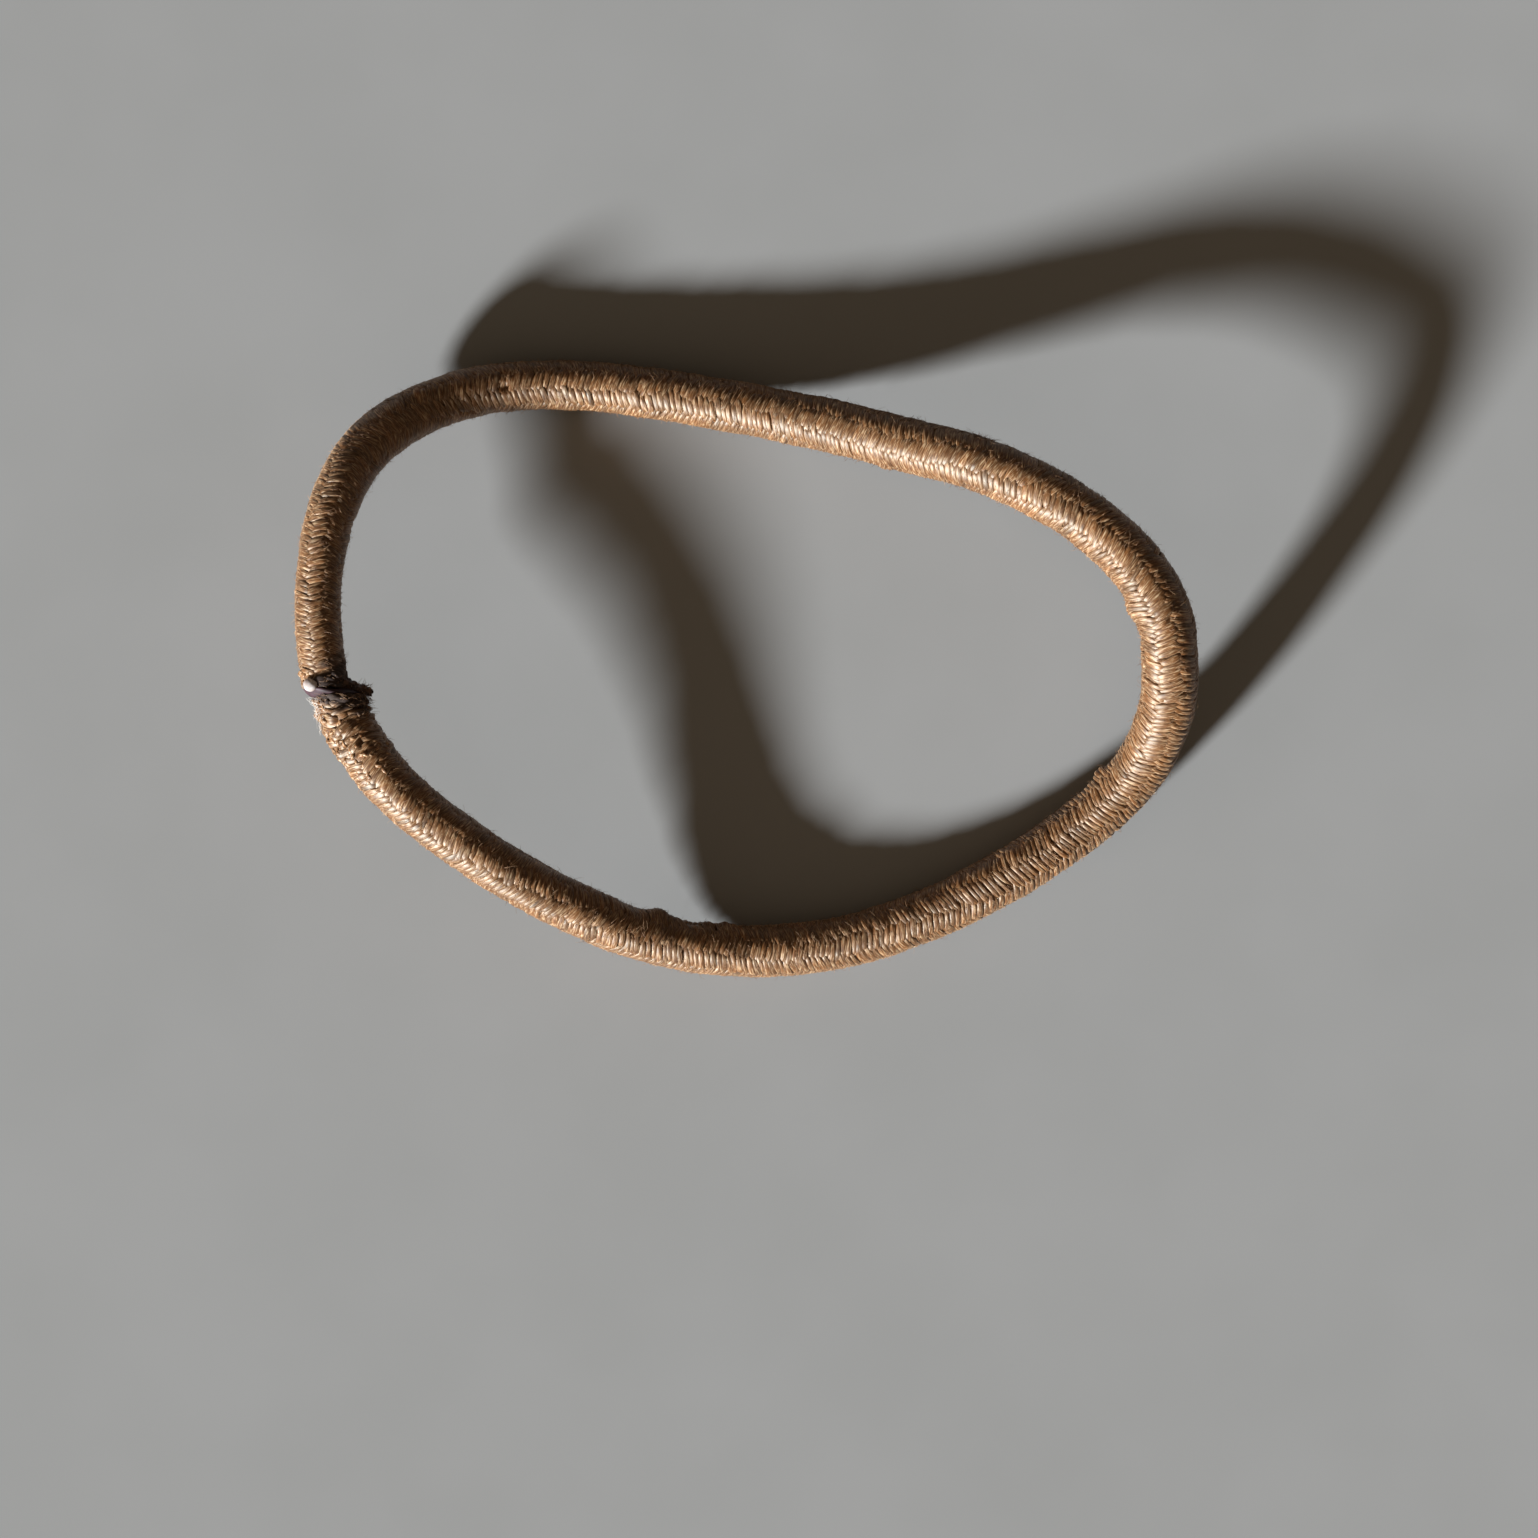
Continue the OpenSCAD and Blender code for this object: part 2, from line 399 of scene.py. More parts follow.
yarn = yarn_material()
fluff = spotted_material(
    "yarn_fluff", dark=(0.16, 0.065, 0.025), pale=(0.42, 0.24, 0.13),
    scale=900, roughness=(0.5, 0.6), bump_mm=0.002)
tan_fluff = spotted_material(
    "stained_fluff", dark=(0.10, 0.045, 0.025), pale=(0.50, 0.34, 0.22),
    scale=1800, roughness=(0.5, 0.6), bump_mm=0.002)
pale_fluff = spotted_material(
    "pale_fluff", dark=(0.62, 0.50, 0.42), pale=(0.85, 0.76, 0.68),
    scale=900, roughness=(0.5, 0.6), bump_mm=0.002)
latex = spotted_material(
    "latex_thread", dark=(0.012, 0.007, 0.005), pale=(0.030, 0.016, 0.011),
    scale=1500, roughness=(0.6, 0.75), bump_mm=0.01)
dark_glue = spotted_material(
    "dark_adhesive", dark=(0.022, 0.008, 0.010), pale=(0.052, 0.021, 0.027),
    scale=1400, roughness=(0.50, 0.65), bump_mm=0.05, Specular_IOR_Level=0.3)
flash_glue = spotted_material(
    "frayed_adhesive", dark=(0.022, 0.009, 0.008), pale=(0.130, 0.066, 0.042),
    scale=2600, roughness=(0.50, 0.65), bump_mm=0.08, Specular_IOR_Level=0.4)
# The clear drop's pale colour is partly the glue's own and partly a painted highlight.
clear_glue = spotted_material(
    "clear_adhesive", dark=(0.62, 0.46, 0.40), pale=(0.90, 0.82, 0.80),
    scale=1300, roughness=(0.12, 0.24), bump_mm=0.02,
    Transmission_Weight=0.4, IOR=1.48, Coat_Weight=0.6, Coat_Roughness=0.08)

# ---------------------------------------------------------------- the braided cover

YARNS_EACH_WAY = 8
LEAD = 3.4 * MM  # along the cord for one turn of a yarn
SAMPLES_A_TURN = 128
YARN_SIDES = 10
YARN_W = 0.45 * MM
YARN_T = 0.21 * MM
WEAVE_DEPTH = 0.07 * MM  # how far a yarn swings out and in as it passes over two and under two
WEAVE_SNAP = 1.3  # how quickly it swings: higher keeps it on top for longer
CROSSING_LIFT = 0.45  # how much of the depth a yarn keeps halfway between over and under
WEAVE_R = CORD_D / 2 - WEAVE_DEPTH - YARN_T / 2  # at a yarn's middle, halfway through the cover
PINCH = 0.16  # how much wider a yarn is on top than under another
RIDGE = 0.013 * MM  # how much a yarn's bundles of filaments stand out along it
UV_YARN_STEP = 40.0  # how far apart two yarns lie on their map, so that no two match

# How the whole weave varies along the cord: its pitch, its turn round the cord, and how full the yarns lie
PITCH_STEPS = 2000
PITCH_VARIES = 0.05
PITCH_EVERY = 9 * MM
TWIST = 0.35
TWIST_EVERY = 16 * MM
FULLNESS = 1.01
FULLNESS_VARIES = 0.05
FULLNESS_EVERY = 13 * MM

# How much each yarn strays from its even path, and over what length that changes
STRAY_ALONG = 0.040 * MM
STRAY_ALONG_EVERY = 0.7 * MM
STRAY_ROUND = 0.050
STRAY_ROUND_EVERY = 0.8 * MM
STRAY_SWING = 0.45
STRAY_SWING_EVERY = 0.8 * MM
STRAY_OUT = 0.015 * MM
STRAY_OUT_EVERY = 0.5 * MM
STRAY_WIDTH = 0.12
STRAY_WIDTH_EVERY = 0.6 * MM
RIDGE_EVERY = 0.3 * MM
CRUMPLE_LOOSER = 0.9  # how much more it strays where the cover is crumpled

# How much a yarn's shade varies along it
TONE = 0.95
TONE_SHORT = 0.16
TONE_SHORT_EVERY = 1.5 * MM
TONE_LONG = 0.09
TONE_LONG_EVERY = 14 * MM

FINE_RISE = 0.022 * MM  # how uneven the cover is all over
CRUMPLE_RISE = 0.085 * MM  # and how much more where it is crumpled
CRUMPLE_REACH = 7 * MM  # the disturbed cover on the lower arm, before the joint
CRUMPLE_PAST = 2.6 * MM  # and on the upper arm, past it
CRUMPLE_PAST_SHARE = 0.5  # how disturbed that is beside the lower arm
CRUMPLE_EDGE = 1.6  # how soon the crumpling is at its full: higher is sooner

# How far adhesive has soaked in from a cut end, in mm. The deep reach on the inner side, where shade
# falls, is partly painted shade.
SOAK_OUTER = 0.15
SOAK_AND_SHADE_INNER_UPPER = 2.9
SOAK_AND_SHADE_INNER_LOWER = 2.6
SOAK_RAGGED = 0.28
SOAK_LEAST = 0.05
SOAK_EDGE = 2.2  # how sharp the stain's edge is: higher is sharper

# What handling has done to the cover, in mm: [x, y, angle round in degrees, rise, spread]
BLEMISHES = [
    [-18.6, 21.6, 95, -0.40, 0.35],
    [-24.4, 20.0, 60, 0.18, 0.90],
    [-9.5, -19.9, 170, -0.12, 0.90],
    [-7.2, -20.5, 170, 0.38, 0.85],
    [-4.6, -21.2, 170, -0.34, 0.80],
    [-3.4, -21.4, 165, 0.16, 0.35],
    [-2.6, -21.5, 150, -0.48, 0.30],
    [-1.8, -21.5, 165, 0.28, 0.50],
    [20.7, -15.3, 125, 0.16, 1.20],
    [28.4, -9.2, 175, 0.40, 0.55],
    [30.8, 5.1, 180, 0.34, 0.95],
    [31.7, 2.4, 180, -0.12, 1.00],
    [11.0, 17.2, 200, 0.22, 0.60],
]

braid_rng = np.random.default_rng(11)
fine_lumps = lump_field(braid_rng, waves=14, shortest=1.5 * MM, longest=9 * MM)
crumple_lumps = lump_field(braid_rng, waves=20, shortest=0.7 * MM, longest=1.5 * MM)
pitch_steps = np.linspace(0, line_s[-1], PITCH_STEPS)
pitch = LEAD * (1 + PITCH_VARIES * wander(braid_rng, pitch_steps, PITCH_EVERY))
turns_at = np.concatenate([[0], np.cumsum(np.diff(pitch_steps) / pitch[1:])])
twist = TWIST * wander(braid_rng, pitch_steps, TWIST_EVERY)
fullness = FULLNESS + FULLNESS_VARIES * wander(braid_rng, pitch_steps, FULLNESS_EVERY)


def crumple_at(s):
    """How disturbed the cover is, from 0 to 1."""
    before = ramp(CRUMPLE_EDGE * (1 - (last_s - s) / CRUMPLE_REACH))
    past = CRUMPLE_PAST_SHARE * ramp(CRUMPLE_EDGE * (1 - (s - first_s) / CRUMPLE_PAST))
    return np.maximum(before, past)


def nearest_s(x, y):
    """How far along the cord its centreline passes closest to a place in plan, in mm."""
    return line_s[np.argmin(np.hypot(line[:, 0] - x * MM, line[:, 1] - y * MM))]


def surface_rise(s, angle):
    """How far the whole cover stands out from its even shape."""
    rise = FINE_RISE * fine_lumps(s, angle) + CRUMPLE_RISE * crumple_at(s) * crumple_lumps(s, angle)
    for x, y, side, height, spread in BLEMISHES:
        off_angle = np.angle(np.exp(1j * (angle - math.radians(side))))
        off = np.hypot(s - nearest_s(x, y), off_angle * CORD_D / 2)
        rise = rise + height * MM * np.exp(-((off / (spread * MM)) ** 2))
    return rise


def glue_at(s, angle):
    """How much adhesive has soaked in, with a ragged edge. It reaches far on the loop's inner side, where
    it also paints in the shade that falls there.
    """
    to_end = np.minimum(s - first_s, last_s - s)
    inward = 0.5 - 0.5 * np.cos(angle)
    deep = np.where(s - first_s < last_s - s, SOAK_AND_SHADE_INNER_UPPER, SOAK_AND_SHADE_INNER_LOWER)
    reach = (SOAK_OUTER + deep * inward ** 0.8 + SOAK_RAGGED * crumple_lumps(s, angle)) * MM
    return ramp(SOAK_EDGE * (1 - to_end / np.maximum(reach, SOAK_LEAST * MM)))


def build_yarn(number, direction, start_angle):
    """One yarn of the braid, running round the cord in that direction."""
    rng = np.random.default_rng(100 + number)
    samples = int(SAMPLES_A_TURN * (last_s - first_s) / LEAD)
    middle = np.linspace(first_s, last_s, samples)
    weave_angle = start_angle + direction * 2 * math.pi * np.interp(middle, pitch_steps, turns_at)
    angle = weave_angle + np.interp(middle, pitch_steps, twist)
    loose = 1 + CRUMPLE_LOOSER * crumple_at(middle)
    stray = STRAY_ALONG * loose * wander(rng, middle, STRAY_ALONG_EVERY)
    stray = stray * ramp((middle - first_s) / MM) * ramp((last_s - middle) / MM)
    share = share_at(middle)
    angle = angle + STRAY_ROUND * loose * wander(rng, middle, STRAY_ROUND_EVERY)
    swing_stray = STRAY_SWING * wander(rng, middle, STRAY_SWING_EVERY)
    swing = np.cos(YARNS_EACH_WAY / 2 * weave_angle - math.pi / 4 + swing_stray)
    over = direction * np.tanh(WEAVE_SNAP * swing) / math.tanh(WEAVE_SNAP)
    height = over + CROSSING_LIFT * (1 - over ** 2)
    radius = share * (WEAVE_R + WEAVE_DEPTH * height) + surface_rise(middle, angle)
    radius = radius + STRAY_OUT * loose * wander(rng, middle, STRAY_OUT_EVERY)

    slope = math.atan2(2 * math.pi * CORD_D / 2, LEAD)
    width = YARN_W * np.interp(middle, pitch_steps, fullness) * (1 + PINCH * over)
    width = width * (1 + STRAY_WIDTH * wander(rng, middle, STRAY_WIDTH_EVERY))
    thickness = YARN_T * share
    around = full_turn(YARN_SIDES) - math.pi / 2
    offset = width[:, None] / 2 * np.cos(around)
    ring_s = (middle + stray)[:, None] + direction * math.sin(slope) * offset
    ring_angle = angle[:, None] - math.cos(slope) * offset / radius[:, None]
    ring_radius = radius[:, None] + thickness[:, None] / 2 * np.sin(around)
    ridges = np.stack([wander(rng, middle, RIDGE_EVERY) for _ in around], -1)
    ring_radius = ring_radius + RIDGE * ridges
    ring_s = np.clip(ring_s, first_s, last_s)
    rings = on_cord(ring_s, ring_angle, ring_radius)
    rings[..., 2] = np.maximum(rings[..., 2], 0)

    run = np.concatenate([[0], np.cumsum(np.linalg.norm(np.diff(rings.mean(1), axis=0), axis=1))])
    uv = np.stack(np.broadcast_arrays(
        run[:, None] / MM + UV_YARN_STEP * number,
        np.arange(YARN_SIDES + 1)[None, :] / YARN_SIDES,
    ), -1)
    mesh = tubes_mesh(f"cover_yarn_{number:02d}", rings[None], uv)
    tone = TONE + TONE_SHORT * wander(rng, middle, TONE_SHORT_EVERY)
    tone = tone + TONE_LONG * wander(rng, middle, TONE_LONG_EVERY)
    add_values(mesh, "tone", np.repeat(np.clip(tone, 0.5, 1.5), YARN_SIDES))
    add_values(mesh, "glue", glue_at(ring_s, ring_angle))
    return make_object(mesh.name, mesh, yarn)


yarns = []
for family, direction in enumerate((1, -1)):
    for k in range(YARNS_EACH_WAY):
        number = 1 + family * YARNS_EACH_WAY + k
        yarns.append(build_yarn(number, direction, 2 * math.pi * k / YARNS_EACH_WAY))

# ---------------------------------------------------------------- the rubber threads

THREAD_D = 0.6 * MM
THREAD_RINGS = 2
THREAD_SIDES = 8
THREAD_STEPS = 260
THREAD_FIT = 0.97  # a thread is drawn this much thinner, so that neighbours don't cut into each other


def thread_places():
    """The threads' places in the bundle: the middle one, then ring by ring, as in the CAD source."""
    corners = [np.array([math.cos(a), math.sin(a)]) for a in np.arange(7) * math.pi / 3]
    places = [np.zeros(2)]
    for ring in range(1, THREAD_RINGS + 1):
        for side in range(6):
            for k in range(ring):
                places.append(THREAD_D * (ring * corners[side] + k * (corners[side + 1] - corners[side])))
    return places


def build_thread(number, place):
    s = np.linspace(first_s, last_s, THREAD_STEPS)
    around = full_turn(THREAD_SIDES)
    corner = place + THREAD_FIT * THREAD_D / 2 * np.stack([np.cos(around), np.sin(around)], -1)
    shrink = np.minimum(share_at(s), 1)[:, None]
    rings = on_cord(
        s[:, None],
        np.arctan2(corner[:, 1], corner[:, 0])[None, :],
        shrink * np.hypot(corner[:, 0], corner[:, 1])[None, :],
    )
    mesh = tubes_mesh(f"latex_{number:02d}", rings[None])
    return make_object(mesh.name, mesh, latex)


threads = [build_thread(n, place) for n, place in enumerate(thread_places(), 1)]

# ---------------------------------------------------------------- loose fibres

FLOOR_CLEAR = 0.03 * MM  # a fibre's middle stays this far above the floor
ROOT_DEPTH = 0.05 * MM  # how far under the cover's surface a fibre starts
FIBRE_STEPS = 5
FIBRE_SIDES = 3
FIBRE_TIP = 0.35  # a fibre's thickness at its tip, as a share of that at its root

# How a fibre lies, as shares of its length
FIBRE_DRIFT = 0.35  # how far it leans along the cord, one way or the other
FIBRE_CURL = 0.5  # how much that lean changes on the way, either way
FIBRE_BEND = 0.25  # what is left of the change at its tip
FIBRE_CLING = 0.3  # how much less it runs round the cord towards its tip
FIBRE_LIFT = (0.10, 0.75)  # the least and the most that it stands off the cover
FIBRE_DROOP = 0.25  # how much of its lift it loses by its tip


def fibre_mesh(name, curves, thickness):
    """Thin tapering fibres along curves, which hold fibre, point, xyz."""
    taper = np.linspace(1, FIBRE_TIP, curves.shape[1])[None, :, None, None]
    ring = rings_round(curves, FIBRE_SIDES)
    return tubes_mesh(name, curves[:, :, None, :] + thickness / 2 * taper * ring)


def grown_fibres(rng, roots_s, roots_angle, lengths):
    """Fibres that leave the cover, bend over and wander, from those roots."""
    count = len(roots_s)
    t = np.linspace(0, 1, FIBRE_STEPS)[None, :]
    swing = rng.choice([-1, 1], count)[:, None]
    drift = rng.normal(0, FIBRE_DRIFT, (count, 1))
    lift = rng.uniform(*FIBRE_LIFT, (count, 1))
    curl = rng.normal(0, FIBRE_CURL, (count, 1))
    length = lengths[:, None]
    s = roots_s[:, None] + length * (drift * t + FIBRE_BEND * curl * t * t)
    angle = roots_angle[:, None] + swing * length * t * (1 - FIBRE_CLING * t) / (CORD_D / 2)
    rise = length * lift * (t - FIBRE_DROOP * t * t)
    radius = share_at(s) * CORD_D / 2 - ROOT_DEPTH + rise + surface_rise(s, angle)
    curves = on_cord(np.clip(s, first_s, last_s), angle, radius)
    curves[..., 2] = np.maximum(curves[..., 2], FLOOR_CLEAR)
    return curves


FLUFF_PIECES = 3
FLUFF_COUNT = 7000  # fibres in each piece
FLUFF_THICK = 0.030 * MM
FLUFF_SHORT = 0.22  # the shortest fibre, in mm
FLUFF_LONGER = 0.75  # how much longer the longest is, in mm
FLUFF_MOSTLY_SHORT = 4  # the higher this is, the fewer the long ones

fluff_rng = np.random.default_rng(23)


def build_fluff(number):
    """The fuzz that stands off the whole cover: mostly short, with a few long fibres."""
    s = fluff_rng.uniform(first_s, last_s, FLUFF_COUNT)
    angle = fluff_rng.uniform(0, 2 * math.pi, FLUFF_COUNT)
    longer = FLUFF_LONGER * fluff_rng.uniform(0, 1, FLUFF_COUNT) ** FLUFF_MOSTLY_SHORT
    length = (FLUFF_SHORT + longer) * MM
    mesh = fibre_mesh(f"cover_fluff_{number}", grown_fibres(fluff_rng, s, angle, length), FLUFF_THICK)
    return make_object(mesh.name, mesh, fluff)


cover_fluff = [build_fluff(number) for number in range(1, FLUFF_PIECES + 1)]

LOOP_COUNT = 130
UPPER_LOOPS = 12  # those that stand on the upper arm, by the bead
LOOP_UPPER_REACH = 1.3 * MM  # how far along it they stand
LOOP_STEPS = 10
LOOP_SIDES = 6
LOOP_SPAN_MM = (0.28, 0.44)  # from one foot of a loop to the other
LOOP_RISE_MM = (0.07, 0.17)
LOOP_HALF_THICK_MM = (0.13, 0.18)
LOOP_DEPTH = 0.16 * MM  # how far under the cover's surface its feet are
LOOP_LOWER_AWAY = 0.6  # how much less the loops rise at the far end of the crumpled stretch
LOOP_PAINTED_LIGHT = (1.0, 1.8)  # painted light: paler than the yarns, as if they catch the light
LOOP_UPPER_SOAK = 0.3  # those on the upper arm have soaked up little of the glue
LOOP_UPPER_ROUND = (32, 18)  # where they stand round the cord, in degrees: the middle and the spread
LOOP_LOWER_ROUND = (60, 75)


def build_loops():
    """Small slack loops of yarn that stand up where the cover is crumpled, beside the joint, painted paler
    than the yarns as painted light.
    """
    rng = np.random.default_rng(41)
    upper = np.arange(LOOP_COUNT) < UPPER_LOOPS
    reach = np.where(upper, LOOP_UPPER_REACH, CRUMPLE_REACH)
    from_end = rng.uniform(0.06, 1, LOOP_COUNT) ** 1.2 * reach
    round_middle, round_spread = (
        np.where(upper, *pair) for pair in zip(LOOP_UPPER_ROUND, LOOP_LOWER_ROUND))
    root_angle = np.radians(rng.normal(round_middle, round_spread))
    turned = rng.uniform(0, math.pi, LOOP_COUNT)
    across = rng.uniform(*LOOP_SPAN_MM, LOOP_COUNT) * MM
    rise = rng.uniform(*LOOP_RISE_MM, LOOP_COUNT) * MM * (1 - LOOP_LOWER_AWAY * from_end / CRUMPLE_REACH)
    half_thick = rng.uniform(*LOOP_HALF_THICK_MM, LOOP_COUNT) * MM

    t = np.linspace(0, 1, LOOP_STEPS)[None, :]
    along = (across[:, None] * (t - 0.5)) * np.cos(turned)[:, None]
    round_cord = (across[:, None] * (t - 0.5)) * np.sin(turned)[:, None]
    root_s = np.where(upper, first_s + from_end, last_s - from_end)
    s = np.clip(root_s[:, None] + along, first_s, last_s)
    angle = root_angle[:, None] + round_cord / (CORD_D / 2)
    lift = rise[:, None] * np.sin(math.pi * t) - LOOP_DEPTH
    middle = on_cord(s, angle, share_at(s) * CORD_D / 2 + surface_rise(s, angle) + lift)

    ring = rings_round(middle, LOOP_SIDES)
    rings = middle[:, :, None, :] + half_thick[:, None, None, None] * ring
    rings[..., 2] = np.maximum(rings[..., 2], 0)
    uv = np.stack(np.broadcast_arrays(
        np.linspace(0, 0.6, LOOP_STEPS)[:, None],
        np.arange(LOOP_SIDES + 1)[None, :] / LOOP_SIDES,
    ), -1)
    mesh = tubes_mesh("cover_loops", rings, uv)
    # Painted light: each loop is painted paler than the yarns.
    tone = np.repeat(rng.uniform(*LOOP_PAINTED_LIGHT, LOOP_COUNT), LOOP_STEPS * LOOP_SIDES)
    add_values(mesh, "tone", tone)
    soak_and_shade = glue_at(s, angle) * np.where(upper, LOOP_UPPER_SOAK, 1)[:, None]
    add_values(mesh, "glue", np.repeat(soak_and_shade[:, :, None], LOOP_SIDES, axis=2))
    return make_object(mesh.name, mesh, yarn)


cover_loops = build_loops()

# ---------------------------------------------------------------- the glued joint

RIM_SIDES = 72
RIM_PROFILE = np.array([-1.0, -0.9, -0.7, -0.4, 0.0, 0.4, 0.7, 0.9, 1.0])  # across the film's width
FILM_HALF_MM = 0.24  # half the film's width along the cord, on the loop's inner side
FILM_WIDER_MM = 0.20  # how much wider it is on the outer side
FILM_RAGGED_MM = 0.05

# How far the film stands out, as shares of the cord's radius
FILM_EDGE = 0.95  # at its two edges, which are sunk into the yarn
FILM_PROUD = 0.03  # how much further at its middle, all round
FILM_PROUD_OUTER = 0.10  # and on the outer side
FILM_PROUD_RAGGED = 0.03

DROP_STEPS = 18
DROP_SIDES = 24
DROP_ENDS = 0.06  # radians from each end of a drop to its last ring
BEAD_AXIS = (0.9, -0.3, 0.2)
BEAD_SHARES = (1.0, 0.85, 0.95)  # of its solid's half sizes
BEAD_LUMPS = 0.04

FLASH_STEPS = 40
FLASH_SIDES = 36
FLASH_ROOT_DEPTH = 0.4 * MM  # how far inside the cord, before its solid, the tongue starts
FLASH_DROOP = 0.15 * MM  # how far its tip hangs
FLASH_SKEW = 0.10 * MM  # how far its rings are out of true
FLASH_LUMPS = 0.18
FLASH_GRAIN = 0.10

FRAY_COUNT = 90
FRAY_STEPS = 6
FRAY_THICK = 0.050 * MM
FRAY_LENGTH_MM = (0.18, 0.42)
FRAY_OUTWARD = 0.7  # how much a filament points out of the tongue
FRAY_SWEEP = np.array([0.6, -0.35, 0.0])  # how much all of them point towards its tip
FRAY_STRAY = 0.35

glue_rng = np.random.default_rng(31)
rim_noise = lump_field(glue_rng, waves=8, shortest=1 * MM, longest=2 * MM)
edge_noise = lump_field(glue_rng, waves=8, shortest=1 * MM, longest=2 * MM)


def build_film():
    """The squeezed-out film between the two cut ends, lapping onto both a little."""
    around = full_turn(RIM_SIDES)
    ends = [on_cord(np.full(RIM_SIDES, s), around, share_at(s) * CORD_D / 2) for s in (first_s, last_s)]
    middles = [line[0], line[-1]]
    outlines = [end - middle for end, middle in zip(ends, middles)]
    rings = []
    for y in RIM_PROFILE:
        t = (1 - y) / 2
        outline = outlines[0] * (1 - t) + outlines[1] * t
        middle = middles[0] * (1 - t) + middles[1] * t
        outward = ramp(np.cos(around))
        proud = FILM_PROUD + FILM_PROUD_OUTER * outward
        proud = proud + FILM_PROUD_RAGGED * rim_noise(0.3 * y * MM, around)
        bulge = FILM_EDGE + proud * math.sqrt(max(0.0, 1 - y * y))
        ragged = FILM_RAGGED_MM * edge_noise(np.sign(y) * MM, around)
        half = (FILM_HALF_MM + FILM_WIDER_MM * outward ** 2 + ragged) * MM
        rings.append(np.stack([
            middle[0] + outline[:, 0] * bulge,
            joint_at[1] + y * half,
            middle[2] + outline[:, 2] * bulge,
        ], -1))
    # Rings run along +Y and their corners turn outward, up, inward, so the order keeps faces outward
    mesh = tubes_mesh("joint_film", np.array(rings)[None])
    return make_object("joint_film", mesh, dark_glue)


def drop_rings(centre, axis, radii, lumps):
    """Rings of a lumpy drop along axis. radii are its half sizes along axis and in the other two."""
    field = lump_field(glue_rng, waves=7, shortest=1, longest=3)
    axis = unit(np.array(axis, float))
    side = unit(np.cross(WORLD_UP if abs(axis[2]) < 0.9 else CUT_NORMAL, axis))
    up = np.cross(axis, side)
    around = full_turn(DROP_SIDES)
    rings = []
    for a in np.linspace(DROP_ENDS, math.pi - DROP_ENDS, DROP_STEPS):
        swell = 1 + lumps * field(a, around)
        rings.append(
            centre - math.cos(a) * radii[0] * axis
            + (math.sin(a) * radii[1] * swell * np.cos(around))[:, None] * side
            + (math.sin(a) * radii[2] * swell * np.sin(around))[:, None] * up
        )
    return np.array(rings)


def middle_and_size(node):
    low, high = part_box(node)
    return np.array((low + high) / 2), np.array(high - low)


def build_bead():
    """The clear drop on the outer side, a little lumpy, its pale colour partly a painted highlight."""
    centre, size = middle_and_size("adhesive_bead")
    drop = drop_rings(centre, BEAD_AXIS, 0.5 * size * BEAD_SHARES, BEAD_LUMPS)
    return make_object("joint_bead", tubes_mesh("joint_bead", drop[None]), clear_glue)


def build_flash():
    """The ragged lump of glue on the step at the inner side, out to its drooping tip."""
    low, high = (np.array(corner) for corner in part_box("adhesive_flash"))
    size = high - low
    root = low[0] - FLASH_ROOT_DEPTH
    lumps = lump_field(glue_rng, waves=12, shortest=0.25, longest=0.9)
    grain = lump_field(glue_rng, waves=14, shortest=0.10, longest=0.30)
    around = full_turn(FLASH_SIDES)
    rings = []
    for t in np.linspace(0, 1, FLASH_STEPS):
        blunt = math.sqrt(max(0.02, 1 - t ** 5))
        swell = blunt * (1 + FLASH_LUMPS * lumps(t, around) + FLASH_GRAIN * grain(t, around))
        half_w = size[1] * (0.50 - 0.16 * t)
        half_t = size[2] * (0.75 - 0.30 * t)
        centre = np.array([
            root + t * (high[0] - root),
            high[1] - size[1] * (0.42 + 0.34 * t ** 1.5),
            (low[2] + high[2]) / 2 - FLASH_DROOP * t,
        ])
        rings.append(centre + np.stack([
            FLASH_SKEW * blunt * lumps(3 * t, around + 2),
            half_w * swell * np.cos(around),
            half_t * swell * np.sin(around),
        ], -1))
    mesh = tubes_mesh("joint_flash", np.array(rings)[None])
    return make_object("joint_flash", mesh, flash_glue)


def build_flash_fray():
    """Frayed filaments that stand out of the tongue, swept towards its tip."""
    low, high = (np.array(corner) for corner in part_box("adhesive_flash"))
    rng = np.random.default_rng(47)
    t = rng.uniform(0.15, 1, FRAY_COUNT)
    turned = rng.uniform(0, 2 * math.pi, FRAY_COUNT)
    out = np.stack([np.zeros(FRAY_COUNT), np.cos(turned), np.sin(turned)], -1)
    size = high - low
    root = np.array([low[0], (low[1] + high[1]) / 2, (low[2] + high[2]) / 2])
    root = root + out * size * (0.40, 0.40, 0.45) + t[:, None] * size * (0.9, -0.25, 0)
    stray = FRAY_STRAY * rng.standard_normal((FRAY_COUNT, 3))
    sweep = unit(FRAY_OUTWARD * out + FRAY_SWEEP + stray)
    curl = FRAY_STRAY * rng.standard_normal((FRAY_COUNT, 3))
    step = np.linspace(0, 1, FRAY_STEPS)[None, :, None]
    length = rng.uniform(*FRAY_LENGTH_MM, FRAY_COUNT)[:, None, None] * MM
    curves = root[:, None] + length * (sweep[:, None] * step + curl[:, None] * step ** 2)
    return make_object("flash_fray", fibre_mesh("flash_fray", curves, FRAY_THICK), tan_fluff)


def tuft(name, count, centre_angle, spread, near_s, along, length, thickness, material):
    """A tuft of frayed ends that stands off the cord round centre_angle, in degrees, at near_s."""
    roots_angle = np.radians(glue_rng.normal(centre_angle, spread, count))
    roots_s = near_s + glue_rng.normal(0, along, count)
    lengths = glue_rng.uniform(0.4, 1, count) * length
    curves = grown_fibres(glue_rng, np.clip(roots_s, first_s, last_s), roots_angle, lengths)
    return make_object(name, fibre_mesh(name, curves, thickness), material)


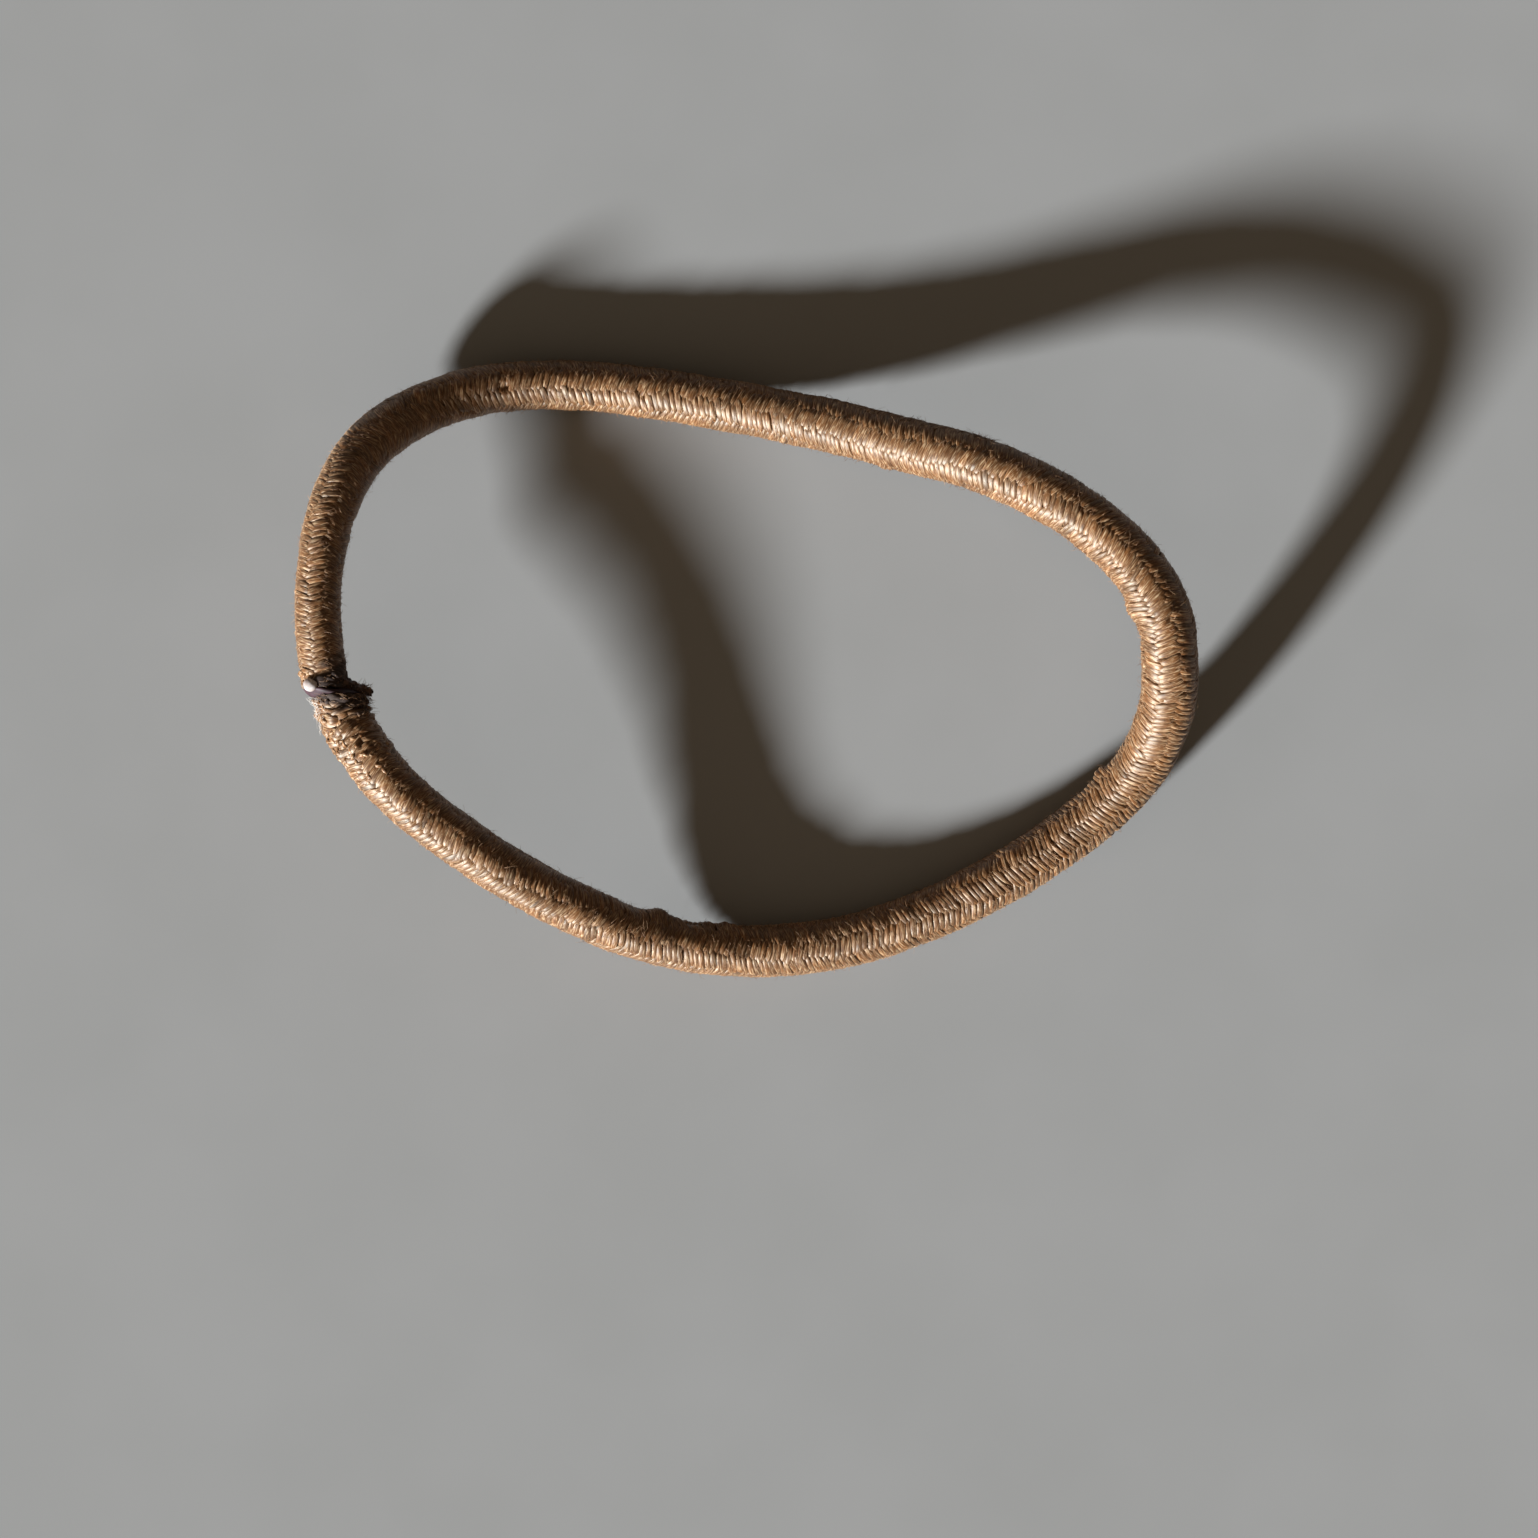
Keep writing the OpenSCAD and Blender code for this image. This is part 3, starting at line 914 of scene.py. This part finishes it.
film = build_film()
bead = build_bead()
flash = build_flash()
flash_fray = build_flash_fray()
outer_tuft = tuft(
    "outer_tuft", count=110, centre_angle=15, spread=16, near_s=last_s - 1.2 * MM, along=0.35 * MM,
    length=1.1 * MM, thickness=0.028 * MM, material=pale_fluff)
inner_fray = tuft(
    "inner_fray", count=120, centre_angle=165, spread=25, near_s=last_s - 0.8 * MM, along=0.5 * MM,
    length=1.3 * MM, thickness=0.030 * MM, material=fluff)
snag = tuft(
    "outer_snag", count=70, centre_angle=22, spread=10, near_s=nearest_s(17.4, 15.3), along=0.5 * MM,
    length=0.9 * MM, thickness=0.030 * MM, material=fluff)

# ---------------------------------------------------------------- bodies and nodes


def stretches(piece):
    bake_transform(piece)


for piece in yarns:
    stretches(piece)
    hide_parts("braided_cover")
for piece in (*cover_fluff, cover_loops, snag):
    stretches(piece)
for number, piece in enumerate(threads, 1):
    stretches(piece)
    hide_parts(f"rubber_thread_{number:02d}")

for piece, node, slot in (
    (film, "adhesive_film", "dark_adhesive"),
    (bead, "adhesive_bead", "clear_adhesive"),
    (flash, "adhesive_flash", "dark_adhesive"),
):
    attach(piece, "glued_joint")
    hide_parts(node)
for piece in (outer_tuft, inner_fray, flash_fray):
    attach(piece, "glued_joint")

# ---------------------------------------------------------------- floor and light

FLOOR_HALF = 3.0
floor_mesh = bpy.data.meshes.new("floor")
floor_mesh.from_pydata(
    [(x * FLOOR_HALF, y * FLOOR_HALF, 0) for x, y in ((-1, -1), (1, -1), (1, 1), (-1, 1))],
    [], [(0, 1, 2, 3)])
floor_grey = spotted_material(
    "pale_floor", dark=(0.244, 0.234, 0.229), pale=(0.256, 0.245, 0.241),
    scale=60, roughness=(0.75, 0.85), bump_mm=0.01)
floor = make_object("floor", floor_mesh, floor_grey)

LIGHT_TRAVEL = np.array([2.08, 2.08, -1.0])  # the way the key light goes, from the loop's own shadow
KEY_STRENGTH = 12.0
KEY_COLOUR = (0.90, 0.97, 1.0)
KEY_ANGLE = 7.0
FILL_TRAVEL = np.array([0.8, 0.8, -1.0])  # a very wide soft box, high on the key's side
FILL_STRENGTH = 0.50
FILL_ANGLE = 110.0
FILL_COLOUR = (1.0, 0.80, 0.56)
AROUND_STRENGTH = 0.06  # what the rest of the studio gives back


def look_along(direction):
    """The rotation that points an object's -Z along direction."""
    return Vector(direction).to_track_quat("-Z", "Y").to_euler()


def add_light(name, travel, strength, angle, colour):
    data = bpy.data.lights.new(name, "SUN")
    data.energy = strength
    data.angle = math.radians(angle)
    data.color = colour
    light = bpy.data.objects.new(name, data)
    light.rotation_euler = look_along(travel)
    bpy.context.scene.collection.objects.link(light)


add_light("key", LIGHT_TRAVEL, KEY_STRENGTH, KEY_ANGLE, KEY_COLOUR)
add_light("fill", FILL_TRAVEL, FILL_STRENGTH, FILL_ANGLE, FILL_COLOUR)

world = bpy.data.worlds.new("studio")
world.use_nodes = True
background = world.node_tree.nodes["Background"]
background.inputs["Color"].default_value = (*FILL_COLOUR, 1)
background.inputs["Strength"].default_value = AROUND_STRENGTH
bpy.context.scene.world = world
bpy.context.scene.view_settings.view_transform = "Standard"
